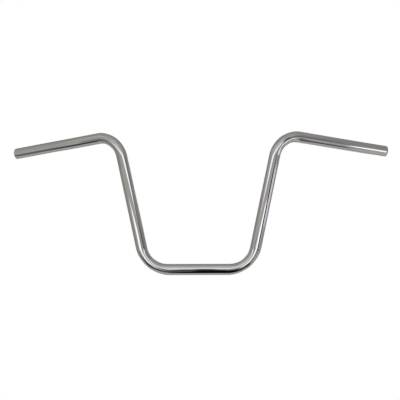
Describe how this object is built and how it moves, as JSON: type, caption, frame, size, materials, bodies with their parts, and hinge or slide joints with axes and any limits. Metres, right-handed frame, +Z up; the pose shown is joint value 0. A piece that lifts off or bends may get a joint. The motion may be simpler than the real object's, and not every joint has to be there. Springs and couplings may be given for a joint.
{
  "type": "ape hanger handlebar",
  "caption": "High-rise motorbike handlebar bent from a single chromed round tube, with a straight clamp run, splayed uprights and swept-back, drooping grip runs.",
  "frame": {"origin": "middle of the straight clamp run, on the tube's axis", "axes": "+X along the clamp run to the rider's left, +Y rearward to the rider, +Z up along the rise"},
  "size_m": [0.8776, 0.1214, 0.3238],
  "materials": {
    "chrome_plate": "bright polished chrome plating on steel tube"
  },
  "bodies": {
    "root": {"handlebar_tube": "chrome_plate"}
  },
  "joints": []
}
